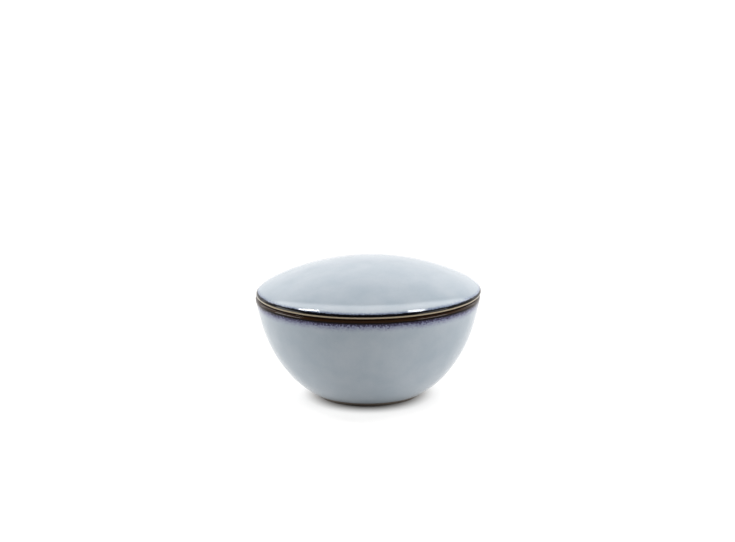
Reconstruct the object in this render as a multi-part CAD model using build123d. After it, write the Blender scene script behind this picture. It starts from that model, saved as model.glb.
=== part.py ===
from build123d import *
from math import radians, sin, tan
import os

# A small lidded bowl of thrown stoneware: an open bowl on a low foot ring, and a domed
# lid that rests on the bowl's lip. Millimetres, +Z up. The origin is the centre of the
# foot ring's resting plane, and both pieces are turned about the Z axis.

# Shared by the two pieces
RIM_RADIUS = 60.0  # the bowl and the lid are flush at their widest
SEAT_Z = 55.0  # the level plane where the lid rests on the bowl's lip

# Bowl, outside: arcs from the lip down to the foot ring, as (radius, turn in degrees)
WALL = 4.2
LIP_ROUNDING = 1.4
UNDER_LIP = (4.0, 9.5)
SIDE = (130.0, 6.3)
BELLY = (68.2, 25.5)
UNDERSIDE = (49.9, 17.8)

# Bowl, inside: the side keeps the wall's thickness, then a corner leads to a dished floor
INSIDE_BELLY_TURN = 20.2
INSIDE_CORNER = (28.0, 48.0)

# Foot ring: bare clay that carries the underside's slope on to the resting plane
FOOT_WIDTH = 7.0
FOOT_DRAFT = 55.0  # its outer side leans in by this many degrees on the way down
FOOT_ROUNDING = 0.6
RECESS_DEPTH = 2.4
RECESS_ROUNDING = 1.0

# Lid, outside: a rounded edge, a shoulder and a shallow dome that is level at the top
LID_EDGE_Z = 56.15  # height of the lid's widest line
EDGE_ABOVE = (2.4, 48.0)
SHOULDER = (25.3, 16.15)
DOME_SLOPE = 90.0 - EDGE_ABOVE[1] - SHOULDER[1]  # the dome's slope where the shoulder ends

# Lid, inside: a ceiling that follows the dome, and a flange that keeps the lid centred
LID_THICKNESS = 4.5
CEILING_TURN = 23.2
CEILING_CORNER = 6.0
FLANGE_RADIUS = 53.6
FLANGE_BOTTOM_Z = 50.0
FLANGE_ROOT_ROUNDING = 1.0

INWARD = (-1, 0)
OUTWARD = (1, 0)
UP = (0, 1)
DOWN = (0, -1)


def smooth_arcs(start, heading, *arcs):
    """Arcs that follow one another without a corner. A turn above 0 bends to the left."""
    edges = []
    for radius, turn in arcs:
        edges.append(JernArc(start, heading, radius, turn))
        start = edges[-1] @ 1
        heading = edges[-1] % 1
    return edges


def to_the_right(arc, offset=0.0):
    """The same arc bent to the right, its radius changed by an offset."""
    radius, turn = arc
    return radius + offset, -turn


def turned(edges):
    """The solid that a closed outline (radius, height) sweeps out about the Z axis."""
    outline = Plane.XZ * make_face(edges)
    return revolve(outline, Axis.Z)


def make_bowl():
    lip_inner = (RIM_RADIUS - WALL + LIP_ROUNDING, SEAT_Z)
    lip_outer = (RIM_RADIUS - LIP_ROUNDING, SEAT_Z)
    land = Line(lip_inner, lip_outer)

    outside = smooth_arcs(
        lip_outer,
        OUTWARD,
        (LIP_ROUNDING, -90.0),
        to_the_right(UNDER_LIP),
        to_the_right(SIDE),
        to_the_right(BELLY),
        to_the_right(UNDERSIDE),
    )
    inside = smooth_arcs(
        lip_inner,
        INWARD,
        (LIP_ROUNDING, 90.0),
        to_the_right(UNDER_LIP),
        to_the_right(SIDE, -WALL),
        (BELLY[0] - WALL, -INSIDE_BELLY_TURN),
        to_the_right(INSIDE_CORNER),
    )
    corner_end = inside[-1] @ 1
    slope_left = 90.0 - UNDER_LIP[1] - SIDE[1] - INSIDE_BELLY_TURN - INSIDE_CORNER[1]
    floor_radius = corner_end.X / sin(radians(slope_left))
    floor = JernArc(corner_end, inside[-1] % 1, floor_radius, -slope_left)

    foot_top = outside[-1] @ 1
    foot_inner = foot_top.X - FOOT_WIDTH
    draft = radians(FOOT_DRAFT)
    edge_z = FOOT_ROUNDING * (1 - sin(draft))
    edge_radius = foot_top.X - (foot_top.Y - edge_z) * tan(draft)
    foot_side = Line(foot_top, (edge_radius, edge_z))
    foot_edge = JernArc(foot_side @ 1, foot_side % 1, FOOT_ROUNDING, FOOT_DRAFT - 90.0)
    resting_ring = Line(foot_edge @ 1, (foot_inner + FOOT_ROUNDING, 0))
    foot_inner_edge = JernArc(resting_ring @ 1, INWARD, FOOT_ROUNDING, -90.0)
    recess_corner = JernArc(foot_inner_edge @ 1, UP, RECESS_ROUNDING, 90.0)
    recess_roof = Line(recess_corner @ 1, (0, RECESS_DEPTH))
    axis = Line((0, RECESS_DEPTH), floor @ 1)

    foot = [foot_side, foot_edge, resting_ring, foot_inner_edge, recess_corner, recess_roof]
    return turned([land, *outside, *foot, axis, floor, *inside])


def make_lid():
    top = smooth_arcs((RIM_RADIUS, LID_EDGE_Z), UP, EDGE_ABOVE, SHOULDER)
    dome_start = top[-1] @ 1
    dome_radius = dome_start.X / sin(radians(DOME_SLOPE))
    dome = JernArc(dome_start, top[-1] % 1, dome_radius, DOME_SLOPE)
    apex = dome @ 1

    ceiling = smooth_arcs(
        (0, apex.Y - LID_THICKNESS),
        OUTWARD,
        (dome_radius - LID_THICKNESS, -CEILING_TURN),
        (CEILING_CORNER, CEILING_TURN - 90.0),
    )
    axis = Line(apex, ceiling[0] @ 0)

    flange_inner = (ceiling[-1] @ 1).X
    flange_rounding = (FLANGE_RADIUS - flange_inner) / 2
    flange_bend_z = FLANGE_BOTTOM_Z + flange_rounding
    inner_wall = Line(ceiling[-1] @ 1, (flange_inner, flange_bend_z))
    bottom = JernArc(inner_wall @ 1, DOWN, flange_rounding, 180.0)
    outer_wall = Line(bottom @ 1, (FLANGE_RADIUS, SEAT_Z - FLANGE_ROOT_ROUNDING))
    root = JernArc(outer_wall @ 1, UP, FLANGE_ROOT_ROUNDING, -90.0)

    edge_below = LID_EDGE_Z - SEAT_Z
    seat = Line(root @ 1, (RIM_RADIUS - edge_below, SEAT_Z))
    lower_edge = JernArc(seat @ 1, OUTWARD, edge_below, 90.0)

    flange = [inner_wall, bottom, outer_wall, root, seat, lower_edge]
    return turned([*top, dome, axis, *ceiling, *flange])


os.makedirs("parts", exist_ok=True)
for node, solid in {"bowl": make_bowl(), "lid": make_lid()}.items():
    export_step(solid, f"parts/{node}.step")
    box = solid.bounding_box()
    print(node, "radius", round(box.max.X, 2), "height", round(box.min.Z, 2), round(box.max.Z, 2))
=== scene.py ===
import math

import bpy
import numpy as np
from mathutils import Matrix, Quaternion, Vector


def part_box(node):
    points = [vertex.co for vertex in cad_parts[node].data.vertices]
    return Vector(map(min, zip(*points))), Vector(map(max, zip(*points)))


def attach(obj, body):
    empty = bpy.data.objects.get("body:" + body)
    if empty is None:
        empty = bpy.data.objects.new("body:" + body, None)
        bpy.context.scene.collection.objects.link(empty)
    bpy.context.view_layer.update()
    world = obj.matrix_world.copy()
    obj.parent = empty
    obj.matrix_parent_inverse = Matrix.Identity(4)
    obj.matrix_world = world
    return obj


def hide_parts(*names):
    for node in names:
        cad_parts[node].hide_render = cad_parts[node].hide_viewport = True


# A lidded stoneware bowl on a pale floor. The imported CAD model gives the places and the
# sizes. The bowl and the lid are made again here as finer meshes, with the slight warp of
# fired clay, a reactive glaze that breaks at the edges, and a bare foot ring.
# Metres, +Z up, seen from -Y.

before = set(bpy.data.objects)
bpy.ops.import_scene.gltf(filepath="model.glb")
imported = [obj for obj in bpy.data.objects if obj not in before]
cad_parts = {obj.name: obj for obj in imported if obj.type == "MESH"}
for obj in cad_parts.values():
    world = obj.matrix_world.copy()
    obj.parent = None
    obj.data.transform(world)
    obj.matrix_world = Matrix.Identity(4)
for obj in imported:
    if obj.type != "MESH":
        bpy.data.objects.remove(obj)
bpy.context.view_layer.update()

MM = 0.001
BOWL_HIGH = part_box("bowl")[1]
LID_LOW, LID_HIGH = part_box("lid")
RIM_RADIUS = round(BOWL_HIGH.x, 4)
SEAT_Z = round(BOWL_HIGH.z, 4)  # where the lid rests on the bowl's lip

# ------------------------------------------------------------------------- outlines

SEGMENTS = 480  # faces round each piece
SPACING = 1.4 * MM  # longest step along an outline
STEP_ANGLE = 9.0  # longest turn in one step, in degrees

# The CAD model's own arcs, as (radius, turn in degrees). A turn above 0 bends left.
WALL = 4.2 * MM
LIP_ROUNDING = 1.4 * MM
UNDER_LIP = (4.0 * MM, -9.5)
SIDE = (130.0 * MM, -6.3)
BELLY = (68.2 * MM, -25.5)
UNDERSIDE = (49.9 * MM, -17.8)
INSIDE_SIDE = (SIDE[0] - WALL, SIDE[1])
INSIDE_BELLY = (BELLY[0] - WALL, -20.2)
INSIDE_CORNER = (28.0 * MM, -48.0)
FOOT_WIDTH = 7.0 * MM
FOOT_DRAFT = 55.0
FOOT_ROUNDING = 0.6 * MM
RECESS_DEPTH = 2.4 * MM
RECESS_ROUNDING = 1.0 * MM

LID_EDGE_Z = SEAT_Z + 1.15 * MM
EDGE_ABOVE = (2.4 * MM, 48.0)
SHOULDER = (25.3 * MM, 16.15)
LID_THICKNESS = 4.5 * MM
CEILING_TURN = 23.2
CEILING_CORNER = 6.0 * MM
FLANGE_RADIUS = 53.6 * MM
FLANGE_ROOT = 1.0 * MM

GLAZED, BARE = 0, 1  # the material slots of both pieces


class Outline:
    """A line of (radius, height) points, with a material slot for each step between two."""

    def __init__(self, start, heading):
        self.points = [np.array(start, float)]
        self.slots = []
        self.heading = math.radians(heading)

    def add(self, point, slot):
        self.points.append(np.array(point, float))
        self.slots.append(slot)

    def arc(self, radius, turn, slot=GLAZED):
        sweep = math.radians(turn)
        side = math.copysign(radius, turn)
        heading = self.heading
        centre = self.points[-1] + side * np.array([-math.sin(heading), math.cos(heading)])
        steps = math.ceil(max(abs(sweep) * radius / SPACING, abs(turn) / STEP_ANGLE))
        for i in range(1, steps + 1):
            angle = heading + sweep * i / steps
            self.add(centre - side * np.array([-math.sin(angle), math.cos(angle)]), slot)
        self.heading = heading + sweep

    def arc_to_axis(self):
        """The tangent arc that is level where it meets the axis. Gives its radius."""
        turn = math.pi - self.heading
        radius = self.points[-1][0] / math.sin(abs(turn))
        self.arc(radius, math.degrees(turn))
        return radius

    def line(self, end, slot=GLAZED):
        start = self.points[-1]
        way = np.array(end, float) - start
        steps = math.ceil(np.linalg.norm(way) / SPACING)
        for i in range(1, steps + 1):
            self.add(start + way * i / steps, slot)
        self.heading = math.atan2(way[1], way[0])

    def then(self, other):
        self.points += other.points[1:]
        self.slots += other.slots
        return self

    def backwards(self):
        self.points.reverse()
        self.slots.reverse()
        return self


def bowl_outline():
    """From the middle of the floor up the inside, over the lip, and down to the foot."""
    crest = (RIM_RADIUS - WALL / 2, SEAT_Z)
    inside = Outline(crest, 180)
    inside.line((RIM_RADIUS - WALL + LIP_ROUNDING, SEAT_Z))
    inside.heading = math.pi
    inside.arc(LIP_ROUNDING, 90)
    for radius, turn in (UNDER_LIP, INSIDE_SIDE, INSIDE_BELLY, INSIDE_CORNER):
        inside.arc(radius, turn)
    inside.arc_to_axis()

    outside = Outline(crest, 0)
    outside.line((RIM_RADIUS - LIP_ROUNDING, SEAT_Z))
    outside.arc(LIP_ROUNDING, -90)
    for radius, turn in (UNDER_LIP, SIDE, BELLY, UNDERSIDE):
        outside.arc(radius, turn)
    foot, foot_top = outside.points[-1]
    draft = math.radians(FOOT_DRAFT)
    edge_z = FOOT_ROUNDING * (1 - math.sin(draft))
    outside.line((foot - (foot_top - edge_z) * math.tan(draft), edge_z), BARE)
    outside.arc(FOOT_ROUNDING, FOOT_DRAFT - 90, BARE)
    outside.line((foot - FOOT_WIDTH + FOOT_ROUNDING, 0), BARE)
    outside.heading = math.pi
    outside.arc(FOOT_ROUNDING, -90, BARE)
    outside.arc(RECESS_ROUNDING, 90, BARE)
    outside.line((0, RECESS_DEPTH), BARE)
    return inside.backwards().then(outside)


def lid_outline():
    """From the top of the dome out to the edge, then round the flange and in under it."""
    top = Outline((RIM_RADIUS, LID_EDGE_Z), 90)
    top.arc(*EDGE_ABOVE)
    top.arc(*SHOULDER)
    dome_radius = top.arc_to_axis()

    under = Outline((0, LID_HIGH.z - LID_THICKNESS), 0)
    under.arc(dome_radius - LID_THICKNESS, -CEILING_TURN)
    under.arc(CEILING_CORNER, CEILING_TURN - 90)
    flange_inner = under.points[-1][0]
    rounding = (FLANGE_RADIUS - flange_inner) / 2
    under.line((flange_inner, LID_LOW.z + rounding), BARE)
    under.arc(rounding, 180, BARE)
    under.line((FLANGE_RADIUS, SEAT_Z - FLANGE_ROOT), BARE)
    under.arc(FLANGE_ROOT, -90, BARE)
    under.line((RIM_RADIUS - (LID_EDGE_Z - SEAT_Z), SEAT_Z), BARE)
    under.arc(LID_EDGE_Z - SEAT_Z, 90)
    return top.backwards().then(under.backwards())


# --------------------------------------------------------------------------- meshes

SEED = 7
WAVES = 40  # how many waves make the glaze's slight unevenness
WAVE_LENGTHS = (9 * MM, 30 * MM)
UNEVENNESS = 0.02 * MM


def unevenness(points):
    """How far the glaze stands proud at each point: a sum of long, low waves."""
    random = np.random.default_rng(SEED)
    directions = random.normal(size=(WAVES, 3))
    directions /= np.linalg.norm(directions, axis=1)[:, None]
    lengths = random.uniform(*WAVE_LENGTHS, WAVES)
    phases = random.uniform(0, 2 * math.pi, WAVES)
    waves = np.sin(points @ (directions * 2 * math.pi / lengths[:, None]).T + phases)
    return waves.sum(axis=1) * UNEVENNESS / math.sqrt(WAVES)


def turned_mesh(name, outline, warp, materials):
    """The closed mesh that an outline from axis to axis sweeps out, warped and smooth."""
    rings = np.array(outline.points[1:-1])
    angles = np.linspace(0, 2 * math.pi, SEGMENTS, endpoint=False)
    around = np.stack([np.cos(angles), np.sin(angles)], axis=1)
    points = np.empty((len(rings) * SEGMENTS + 2, 3))
    points[1:-1, :2] = (rings[:, 0, None, None] * around).reshape(-1, 2)
    points[1:-1, 2] = np.repeat(rings[:, 1], SEGMENTS)
    points[0] = (0, 0, outline.points[0][1])
    points[-1] = (0, 0, outline.points[-1][1])
    points = warp(points)

    last = len(points) - 1
    faces = []
    for j in range(SEGMENTS):
        k = (j + 1) % SEGMENTS
        faces.append((0, 1 + j, 1 + k))
        for ring in range(len(rings) - 1):
            here, there = 1 + ring * SEGMENTS, 1 + (ring + 1) * SEGMENTS
            faces.append((here + j, there + j, there + k, here + k))
        faces.append((last - SEGMENTS + j, last, last - SEGMENTS + k))
    mesh = bpy.data.meshes.new(name)
    mesh.from_pydata(points.tolist(), [], faces)
    mesh.polygons.foreach_set("material_index", outline.slots * SEGMENTS)
    mesh.update()
    mesh.shade_smooth()

    normals = np.empty(len(points) * 3)
    mesh.vertex_normals.foreach_get("vector", normals)
    points += normals.reshape(-1, 3) * unevenness(points)[:, None]
    mesh.vertices.foreach_set("co", points.ravel())
    mesh.update()
    for material in materials:
        mesh.materials.append(material)
    piece = bpy.data.objects.new(name, mesh)
    bpy.context.scene.collection.objects.link(piece)
    return piece


OVAL = 0.0012  # how far from round the fired pieces are
BOWL_OVAL_PHASE = 0.7
LID_OVAL_PHASE = -0.4
LID_SHIFT = 0.45 * MM  # the lid sits a little to the right
LID_GAP = 0.35 * MM  # and its right edge stands a little off the lip
LID_GAP_ANGLE = 0.2  # where that gap is widest, in radians


def warp_bowl(points):
    angle = np.arctan2(points[:, 1], points[:, 0])
    points[:, :2] *= 1 + OVAL * np.cos(2 * angle + BOWL_OVAL_PHASE)[:, None]
    return points


def warp_lid(points):
    radius = np.hypot(points[:, 0], points[:, 1])
    angle = np.arctan2(points[:, 1], points[:, 0])
    to_edge = (radius / RIM_RADIUS) ** 2
    points[:, :2] *= 1 + OVAL * np.cos(2 * angle + LID_OVAL_PHASE)[:, None]
    side = (0.5 + 0.5 * np.cos(angle - LID_GAP_ANGLE)) ** 2
    points[:, 2] += LID_GAP * to_edge * side
    points[:, 0] += LID_SHIFT
    return points


# ------------------------------------------------------------------------ materials


def srgb(red, green, blue):
    """A linear colour from one as it is seen on a screen, 0 to 255."""
    return tuple(
        c / 12.92 if c <= 0.04045 else ((c + 0.055) / 1.055) ** 2.4
        for c in (red / 255, green / 255, blue / 255)
    ) + (1.0,)


BODY = srgb(142, 150, 157)
BODY_CLOUD = srgb(133, 143, 151)
HAZE = srgb(84, 84, 118)
INDIGO = srgb(36, 32, 56)
LINE = srgb(10, 4, 5)
LIP_BROWN = srgb(42, 26, 15)
BLACK = srgb(8, 7, 10)
LID_HAZE = srgb(100, 110, 130)
TAN = srgb(131, 119, 97)
# Painted shade: a near-black brown on the lid's lowest edge that darkens the gap between the lid
# and the bowl's lip
PAINTED_GAP_SHADE = srgb(30, 16, 8)
CLAY = srgb(104, 92, 78)
CLAY_DARK = srgb(72, 60, 50)

# The glaze. Its gloss is the shader's Specular IOR Level, and each band has its own
BODY_GLOSS = 0.38
GLAZE_ROUGHNESS = 0.09
GLAZE_IOR = 1.5
GLAZE_BUMP = 0.004 * MM
CLOUDS = 14 * MM  # from here to RIPPLES: the size of each kind of mark
SPECKS = 0.7 * MM
DRIPS = 0.7 * MM
WAVER = 9 * MM
RIPPLES = 2.2 * MM
SPECK_STRENGTH = 0.12

# The bare clay
CLAY_ROUGHNESS = 0.8  # where it is roughest
CLAY_BUMP = 0.05 * MM
GRAIN = 0.6 * MM

NOISE_GAIN = 4.0  # Blender's noise seldom strays more than a quarter from its middle


class Nodes:
    """A node tree, with short calls that make and join its nodes."""

    def __init__(self, tree):
        self.tree = tree

    def node(self, kind, inputs, output=0, **settings):
        made = self.tree.nodes.new(kind)
        for key, value in settings.items():
            setattr(made, key, value)
        for key, value in inputs.items():
            self.put(made.inputs[key], value)
        return made.outputs[output]

    def put(self, socket, value):
        if isinstance(value, bpy.types.NodeSocket):
            self.tree.links.new(value, socket)
        else:
            socket.default_value = value

    def math(self, operation, first, second):
        return self.node("ShaderNodeMath", {0: first, 1: second}, operation=operation)

    def smooth_step(self, value, low, high, top=1.0):
        """0 below low, rising smoothly to top above high. It falls if low is the larger."""
        inputs = {"Value": value, "From Min": low, "From Max": high, "To Max": top}
        kind = "ShaderNodeMapRange"
        return self.node(kind, inputs, interpolation_type="SMOOTHSTEP")


class Shader(Nodes):
    """The node tree of one material."""

    def __init__(self, name):
        self.material = bpy.data.materials.new(name)
        self.material.use_nodes = True
        super().__init__(self.material.node_tree)
        self.surface = self.tree.nodes["Principled BSDF"]

    def place(self, stretch=(1, 1, 1)):
        where = self.node("ShaderNodeTexCoord", {}, "Object")
        return self.node("ShaderNodeMapping", {"Vector": where, "Scale": stretch})

    def height(self):
        where = self.node("ShaderNodeTexCoord", {}, "Object")
        return self.node("ShaderNodeSeparateXYZ", {"Vector": where}, "Z")

    def noise(self, size, detail=2.0, stretch=(1, 1, 1), roughness=0.5):
        """Noise between about -1 and 1, with features of that size."""
        inputs = {
            "Vector": self.place(stretch),
            "Scale": 1 / size,
            "Detail": detail,
            "Roughness": roughness,
        }
        value = self.node("ShaderNodeTexNoise", inputs, "Fac")
        return self.math("MULTIPLY", self.math("SUBTRACT", value, 0.5), NOISE_GAIN)

    def mix(self, factor, first, second):
        made = self.tree.nodes.new("ShaderNodeMix")
        made.data_type = "RGBA"
        colour_a, colour_b = made.inputs[6], made.inputs[7]
        self.put(made.inputs["Factor"], factor)
        self.put(colour_a, first)
        self.put(colour_b, second)
        return made.outputs[2]

    def blend(self, factor, first, second):
        """One number turning into another as the factor goes from 0 to 1."""
        inputs = {"Value": factor, "To Min": first, "To Max": second}
        return self.node("ShaderNodeMapRange", inputs)

    def bump(self, height, distance):
        kind = "ShaderNodeBump"
        normal = self.node(kind, {"Height": height, "Distance": distance, "Strength": 1.0})
        self.put(self.surface.inputs["Normal"], normal)


def body_glaze(shader):
    """The milky blue-grey of the thick glaze, faintly clouded and speckled."""
    clouds = shader.smooth_step(shader.noise(CLOUDS, 3), -1, 1)
    colour = shader.mix(clouds, BODY, BODY_CLOUD)
    specks = shader.smooth_step(shader.noise(SPECKS, 3, roughness=0.7), -0.4, 1.6, SPECK_STRENGTH)
    return shader.mix(specks, colour, HAZE)


def glaze_material(name, edge_z, direction, bands):
    """Glaze whose bands follow the distance from an edge at edge_z, going in direction."""
    shader = Shader(name)
    height = shader.height()
    distance = shader.math("MULTIPLY", shader.math("SUBTRACT", height, edge_z), direction)
    drips = shader.noise(DRIPS, 4, stretch=(1, 1, 0.8), roughness=0.8)
    waver = shader.noise(WAVER, 2)
    colour = body_glaze(shader)
    gloss = BODY_GLOSS
    for band, limit, softness, drip, wobble, band_gloss in bands:
        moved = shader.math("ADD", distance, shader.math("MULTIPLY", drips, drip * MM))
        moved = shader.math("ADD", moved, shader.math("MULTIPLY", waver, wobble * MM))
        low, high = (limit + softness / 2) * MM, (limit - softness / 2) * MM
        inside = shader.smooth_step(moved, low, high)
        colour = shader.mix(inside, colour, band)
        gloss = shader.blend(inside, gloss, band_gloss)
    shader.put(shader.surface.inputs["Base Color"], colour)
    shader.put(shader.surface.inputs["Specular IOR Level"], gloss)
    shader.surface.inputs["Roughness"].default_value = GLAZE_ROUGHNESS
    shader.surface.inputs["IOR"].default_value = GLAZE_IOR
    shader.bump(shader.noise(RIPPLES, 3), GLAZE_BUMP)
    return shader.material


def clay_material():
    """Bare fired clay: brown, matte and faintly gritty."""
    shader = Shader("bare_clay")
    grain = shader.smooth_step(shader.noise(GRAIN, 4, roughness=0.7), -1, 1)
    shader.put(shader.surface.inputs["Base Color"], shader.mix(grain, CLAY, CLAY_DARK))
    shader.put(shader.surface.inputs["Roughness"], shader.smooth_step(grain, 0, 1, CLAY_ROUGHNESS))
    shader.bump(grain, CLAY_BUMP)
    return shader.material


FLOOR_COLOUR = (0.3, 0.296, 0.288, 1)
FLOOR_GLOW = 0.76
GLOW_STARTS = (25.5 * MM, 43 * MM)  # from the middle: none nearer, all of it farther
GLOW_STRETCH = (1.15, 1, 0)  # at the sides it starts nearer the middle than in front


def floor_material():
    """Matte, with a glow of its own, so that the shadows on it stay pale.

    The glow fades out toward the foot. That paints part of the contact shadow on the floor,
    so the floor isn't plain.
    """
    shader = Shader("floor")
    level = shader.place(GLOW_STRETCH)
    radius = shader.node("ShaderNodeVectorMath", {0: level}, "Value", operation="LENGTH")
    glow = shader.smooth_step(radius, *GLOW_STARTS, FLOOR_GLOW)
    shader.put(shader.surface.inputs["Emission Strength"], glow)
    shader.surface.inputs["Emission Color"].default_value = (1, 1, 1, 1)
    shader.surface.inputs["Base Color"].default_value = FLOOR_COLOUR
    shader.surface.inputs["Roughness"].default_value = 1.0
    shader.surface.inputs["Specular IOR Level"].default_value = 0.0
    return shader.material


# (colour, limit from the edge, softness, drip, wobble, all in mm, and the gloss)
BOWL_BANDS = [
    (HAZE, 4.6, 4.4, 1.9, 0.3, BODY_GLOSS),
    (INDIGO, 3.3, 0.6, 2.5, 0.2, 0.2),
    (LINE, 2.2, 0.5, 0.3, 0.08, 0.06),
    (LIP_BROWN, 1.3, 0.3, 0.05, 0.05, 0.12),
]
LID_BANDS = [
    (LID_HAZE, 3.5, 0.8, 1.0, 0.2, BODY_GLOSS),
    (BLACK, 2.9, 0.3, 0.42, 0.1, 0.06),
    (TAN, 1.5, 0.3, 0.05, 0.03, 0.4),
    # painted shade in the gap under the lid's edge, with lower gloss
    (PAINTED_GAP_SHADE, 0.75, 0.3, 0.05, 0.03, 0.15),
]

clay = clay_material()
bowl_glaze = glaze_material("bowl_glaze", SEAT_Z, -1, BOWL_BANDS)
lid_glaze = glaze_material("lid_glaze", SEAT_Z, 1, LID_BANDS)

bowl = turned_mesh("glazed_bowl", bowl_outline(), warp_bowl, [bowl_glaze, clay])
lid = turned_mesh("glazed_lid", lid_outline(), warp_lid, [lid_glaze, clay])
for piece, node in ((bowl, "bowl"), (lid, "lid")):
    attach(piece, node)
    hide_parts(node)

# ----------------------------------------------------------- floor, lights and camera

FLOOR_SIZE = 12.0
bpy.ops.mesh.primitive_plane_add(size=FLOOR_SIZE)
floor = bpy.context.object
floor.name = "floor"
floor.data.materials.append(floor_material())

MIDDLE = Vector((0, 0, 0.031))
LAMP_DISTANCE = 1.5


def soft_light(name, azimuth, elevation, turn, size, radiance):
    """A rectangular lamp that faces the object and is turned about its own axis.

    Azimuth 0 is behind the object, and 90 to the right of it.
    """
    azimuth, elevation = math.radians(azimuth), math.radians(elevation)
    level = math.cos(elevation)
    away = Vector((level * math.sin(azimuth), level * math.cos(azimuth), math.sin(elevation)))
    lamp = bpy.data.lights.new(name, "AREA")
    lamp.shape = "RECTANGLE"
    lamp.size, lamp.size_y = size
    lamp.energy = radiance * math.pi * size[0] * size[1]
    holder = bpy.data.objects.new(name, lamp)
    holder.location = MIDDLE + away * LAMP_DISTANCE
    turned = Quaternion((0, 0, 1), math.radians(turn))
    holder.rotation_euler = (away.to_track_quat("Z", "Y") @ turned).to_euler()
    holder.visible_camera = False
    bpy.context.scene.collection.objects.link(holder)


soft_light("left_softbox", -74.2, 56.9, 70.1, (0.33, 0.1), 40)
soft_light("right_softbox", 93.2, 61.9, -54, (0.28, 0.28), 26)
soft_light("left_fill", -92, 14, 0, (0.9, 0.5), 11)
soft_light("right_fill", 112, 14, 0, (0.9, 0.5), 11)

# The room's brightness at heights, given as the sine of the elevation, toward each side
BRIGHTEST = 8.0
ROOM = {
    ("Y", 1): ((0, 1.2), (0.3, 1.35), (0.6, 1.8), (0.85, 1.2), (1, 0)),
    ("Y", -1): ((0, 0), (0.6, 0), (0.85, 0.8), (1, 0)),
    ("X", 1): ((0, 2.0), (0.6, 0.3), (1, 0)),
    ("X", -1): ((0, 1.0), (0.6, 0.7), (1, 0)),
}
# The light from the sides fades in between these depths
SIDE_WINDOWS = (-0.2, 0.2)
NEARLY_UPRIGHT = 0.0001  # keeps a division from failing straight up and straight down

# A long soft lamp overhead, bowed back at its ends
OVERHEAD = 5.4  # its brightness in the middle
OVERHEAD_X = 0.8  # the unit of its reach across
OVERHEAD_Y = (0.1, 0.27)  # the depth of its middle, and the unit of its reach in depth
OVERHEAD_BOW = 1.1
OVERHEAD_END = 1.3  # it is dark where the two reaches, squared, add up to this


def light_room():
    """White light from behind, above and the sides, and almost none from the front."""
    world = bpy.data.worlds.new("studio")
    bpy.context.scene.world = world
    world.use_nodes = True
    nodes = Nodes(world.node_tree)
    way = nodes.node("ShaderNodeTexCoord", {}, "Generated")
    axes = {name: nodes.node("ShaderNodeSeparateXYZ", {"Vector": way}, name) for name in "XYZ"}
    square = {name: nodes.math("MULTIPLY", axes[name], axes[name]) for name in "XYZ"}
    level = nodes.math("MAXIMUM", nodes.math("SUBTRACT", 1.0, square["Z"]), NEARLY_UPRIGHT)
    light = 0.0
    for (name, sign), steps in ROOM.items():
        faces = nodes.math("GREATER_THAN", nodes.math("MULTIPLY", axes[name], sign), 0.0)
        share = nodes.math("MULTIPLY", faces, nodes.math("DIVIDE", square[name], level))
        if name == "X":
            share = nodes.math("MULTIPLY", share, nodes.smooth_step(axes["Y"], *SIDE_WINDOWS))
        ramp = world.node_tree.nodes.new("ShaderNodeValToRGB")
        while len(ramp.color_ramp.elements) < len(steps):
            ramp.color_ramp.elements.new(0.5)
        for stop, (position, value) in zip(ramp.color_ramp.elements, steps):
            stop.position = position
            stop.color = (value / BRIGHTEST,) * 3 + (1,)
        nodes.put(ramp.inputs["Fac"], axes["Z"])
        side = nodes.math("MULTIPLY", share, ramp.outputs["Color"])
        light = nodes.math("ADD", light, nodes.math("MULTIPLY", side, BRIGHTEST))

    bow = nodes.math("MULTIPLY", square["X"], OVERHEAD_BOW)
    depth = nodes.math("SUBTRACT", nodes.math("SUBTRACT", axes["Y"], bow), OVERHEAD_Y[0])
    depth = nodes.math("DIVIDE", depth, OVERHEAD_Y[1])
    depth = nodes.math("MULTIPLY", depth, depth)
    across = nodes.math("DIVIDE", axes["X"], OVERHEAD_X)
    across = nodes.math("MULTIPLY", across, across)
    reach = nodes.math("ADD", depth, across)
    lamp = nodes.smooth_step(reach, OVERHEAD_END, 0.0, OVERHEAD)
    lamp = nodes.math("MULTIPLY", lamp, nodes.math("GREATER_THAN", axes["Z"], 0.0))
    background = world.node_tree.nodes["Background"]
    background.inputs["Color"].default_value = (1, 1, 1, 1)
    nodes.put(background.inputs["Strength"], nodes.math("ADD", light, lamp))


light_room()

DISTANCE = 1.1
ELEVATION = 14.49
AIM_ABOVE = 1.844  # the camera aims above the object, which lies low in the picture
ROLL = 0.66
LENS = 100.2
SENSOR_WIDTH = 36

camera = bpy.data.objects.new("camera", bpy.data.cameras.new("camera"))
camera.data.lens = LENS
camera.data.sensor_width = SENSOR_WIDTH
tilt = math.radians(ELEVATION)
camera.matrix_world = (
    Matrix.Translation(MIDDLE + DISTANCE * Vector((0, -math.cos(tilt), math.sin(tilt))))
    @ Matrix.Rotation(math.radians(90 - ELEVATION + AIM_ABOVE), 4, "X")
    @ Matrix.Rotation(math.radians(-ROLL), 4, "Z")
)
bpy.context.scene.collection.objects.link(camera)
bpy.context.scene.camera = camera
bpy.context.scene.view_settings.view_transform = "Standard"
